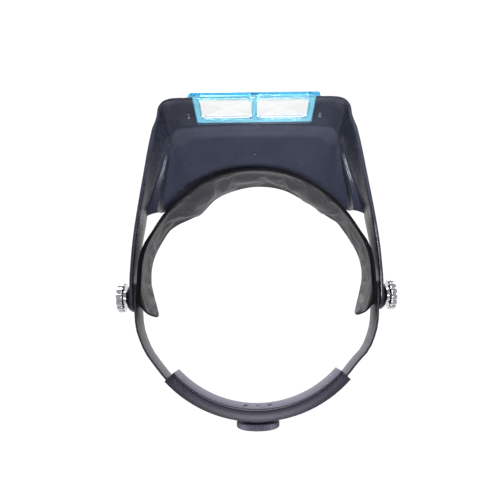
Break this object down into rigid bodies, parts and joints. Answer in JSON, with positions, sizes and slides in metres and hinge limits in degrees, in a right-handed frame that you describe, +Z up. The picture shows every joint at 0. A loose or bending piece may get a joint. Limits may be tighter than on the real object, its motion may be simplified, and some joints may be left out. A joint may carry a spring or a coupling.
{
  "type": "head visor magnifier",
  "caption": "Headband magnifier: a tilting hood carries a twin-window lens plate in front of the eyes, on a padded band with a knob-and-rack size adjuster.",
  "frame": {"origin": "middle of the head opening, level with the band's lower edge", "axes": "worn upright: -Y is the wearer's front, +X the wearer's left, +Z up"},
  "size_m": [0.2292, 0.2468, 0.0997],
  "materials": {
    "hood_plastic": "fine satin moulding, dark slate blue",
    "lens_frame_plastic": "glossy translucent cyan blue",
    "lens_glass": "polished clear lens",
    "band_fibre": "black vulcanised fibre",
    "pad_leather": "soft satin charcoal leather",
    "strap_plastic": "satin lilac grey nylon",
    "housing_plastic": "satin dark lilac grey",
    "knob_plastic": "satin with fine ribs",
    "chrome": "bright chrome plate",
    "steel": "zinc plated",
    "washer_black": "black oxide spring steel",
    "washer_fibre": "red fibre",
    "bush_plastic": "natural acetal"
  },
  "bodies": {
    "headband": {"front_band": "band_fibre", "forehead_pad": "pad_leather", "pad_rivet_left": "steel", "pad_rivet_right": "steel", "pivot_bolt_left": "steel", "pivot_bolt_right": "steel", "pivot_spacer_left": "bush_plastic", "pivot_spacer_right": "bush_plastic", "friction_washer_left": "washer_fibre", "friction_washer_right": "washer_fibre", "dished_washer_left": "washer_black", "dished_washer_right": "washer_black"},
    "hood": {"hood_shell": "hood_plastic", "lens_frame": "lens_frame_plastic", "lens_left": "lens_glass", "lens_right": "lens_glass", "lens_screw_left": "steel", "lens_screw_right": "steel"},
    "nut_left": {"pivot_nut_left": "chrome"},
    "nut_right": {"pivot_nut_right": "chrome"},
    "adjuster": {"adjuster_housing": "housing_plastic", "adjuster_cover": "housing_plastic", "cover_screw_left": "steel", "cover_screw_right": "steel", "spring_washer": "steel"},
    "knob": {"adjuster_knob": "knob_plastic", "adjuster_pinion": "steel", "knob_screw": "steel"},
    "left_strap": {"strap_left": "strap_plastic"},
    "right_strap": {"strap_right": "strap_plastic"}
  },
  "joints": [
    {"name": "hood_tilt", "type": "hinge", "parent": "headband", "child": "hood", "pos_m": [0, 0.0076, 0.012], "axis": [-1, 0, 0], "range_deg": [0, 80]},
    {"name": "nut_left_turn", "type": "hinge", "parent": "headband", "child": "nut_left", "pos_m": [0.11, 0.0076, 0.012], "axis": [1, 0, 0], "range_deg": [0, 270]},
    {"name": "nut_right_turn", "type": "hinge", "parent": "headband", "child": "nut_right", "pos_m": [-0.11, 0.0076, 0.012], "axis": [-1, 0, 0], "range_deg": [0, 270]},
    {"name": "size_slide", "type": "slide", "parent": "headband", "child": "adjuster", "axis": [0, 1, 0], "range_m": [-0.008, 0.008]},
    {"name": "knob_turn", "type": "hinge", "parent": "adjuster", "child": "knob", "pos_m": [0, 0.1085, 0.012], "axis": [0, 1, 0], "range_deg": [-92, 92]},
    {"name": "left_strap_pull", "type": "hinge", "parent": "adjuster", "child": "left_strap", "pos_m": [0, 0.005, 0.012], "axis": [0, 0, 1], "range_deg": [-4.8, 4.8]},
    {"name": "right_strap_pull", "type": "hinge", "parent": "adjuster", "child": "right_strap", "pos_m": [0, 0.005, 0.012], "axis": [0, 0, 1], "range_deg": [-4.8, 4.8]}
  ],
  "couplings": [
    {"joint": "knob_turn", "follows": "size_slide", "rad_per_m": -198.9},
    {"joint": "left_strap_pull", "follows": "size_slide", "rad_per_m": -10.25},
    {"joint": "right_strap_pull", "follows": "size_slide", "rad_per_m": 10.25}
  ]
}
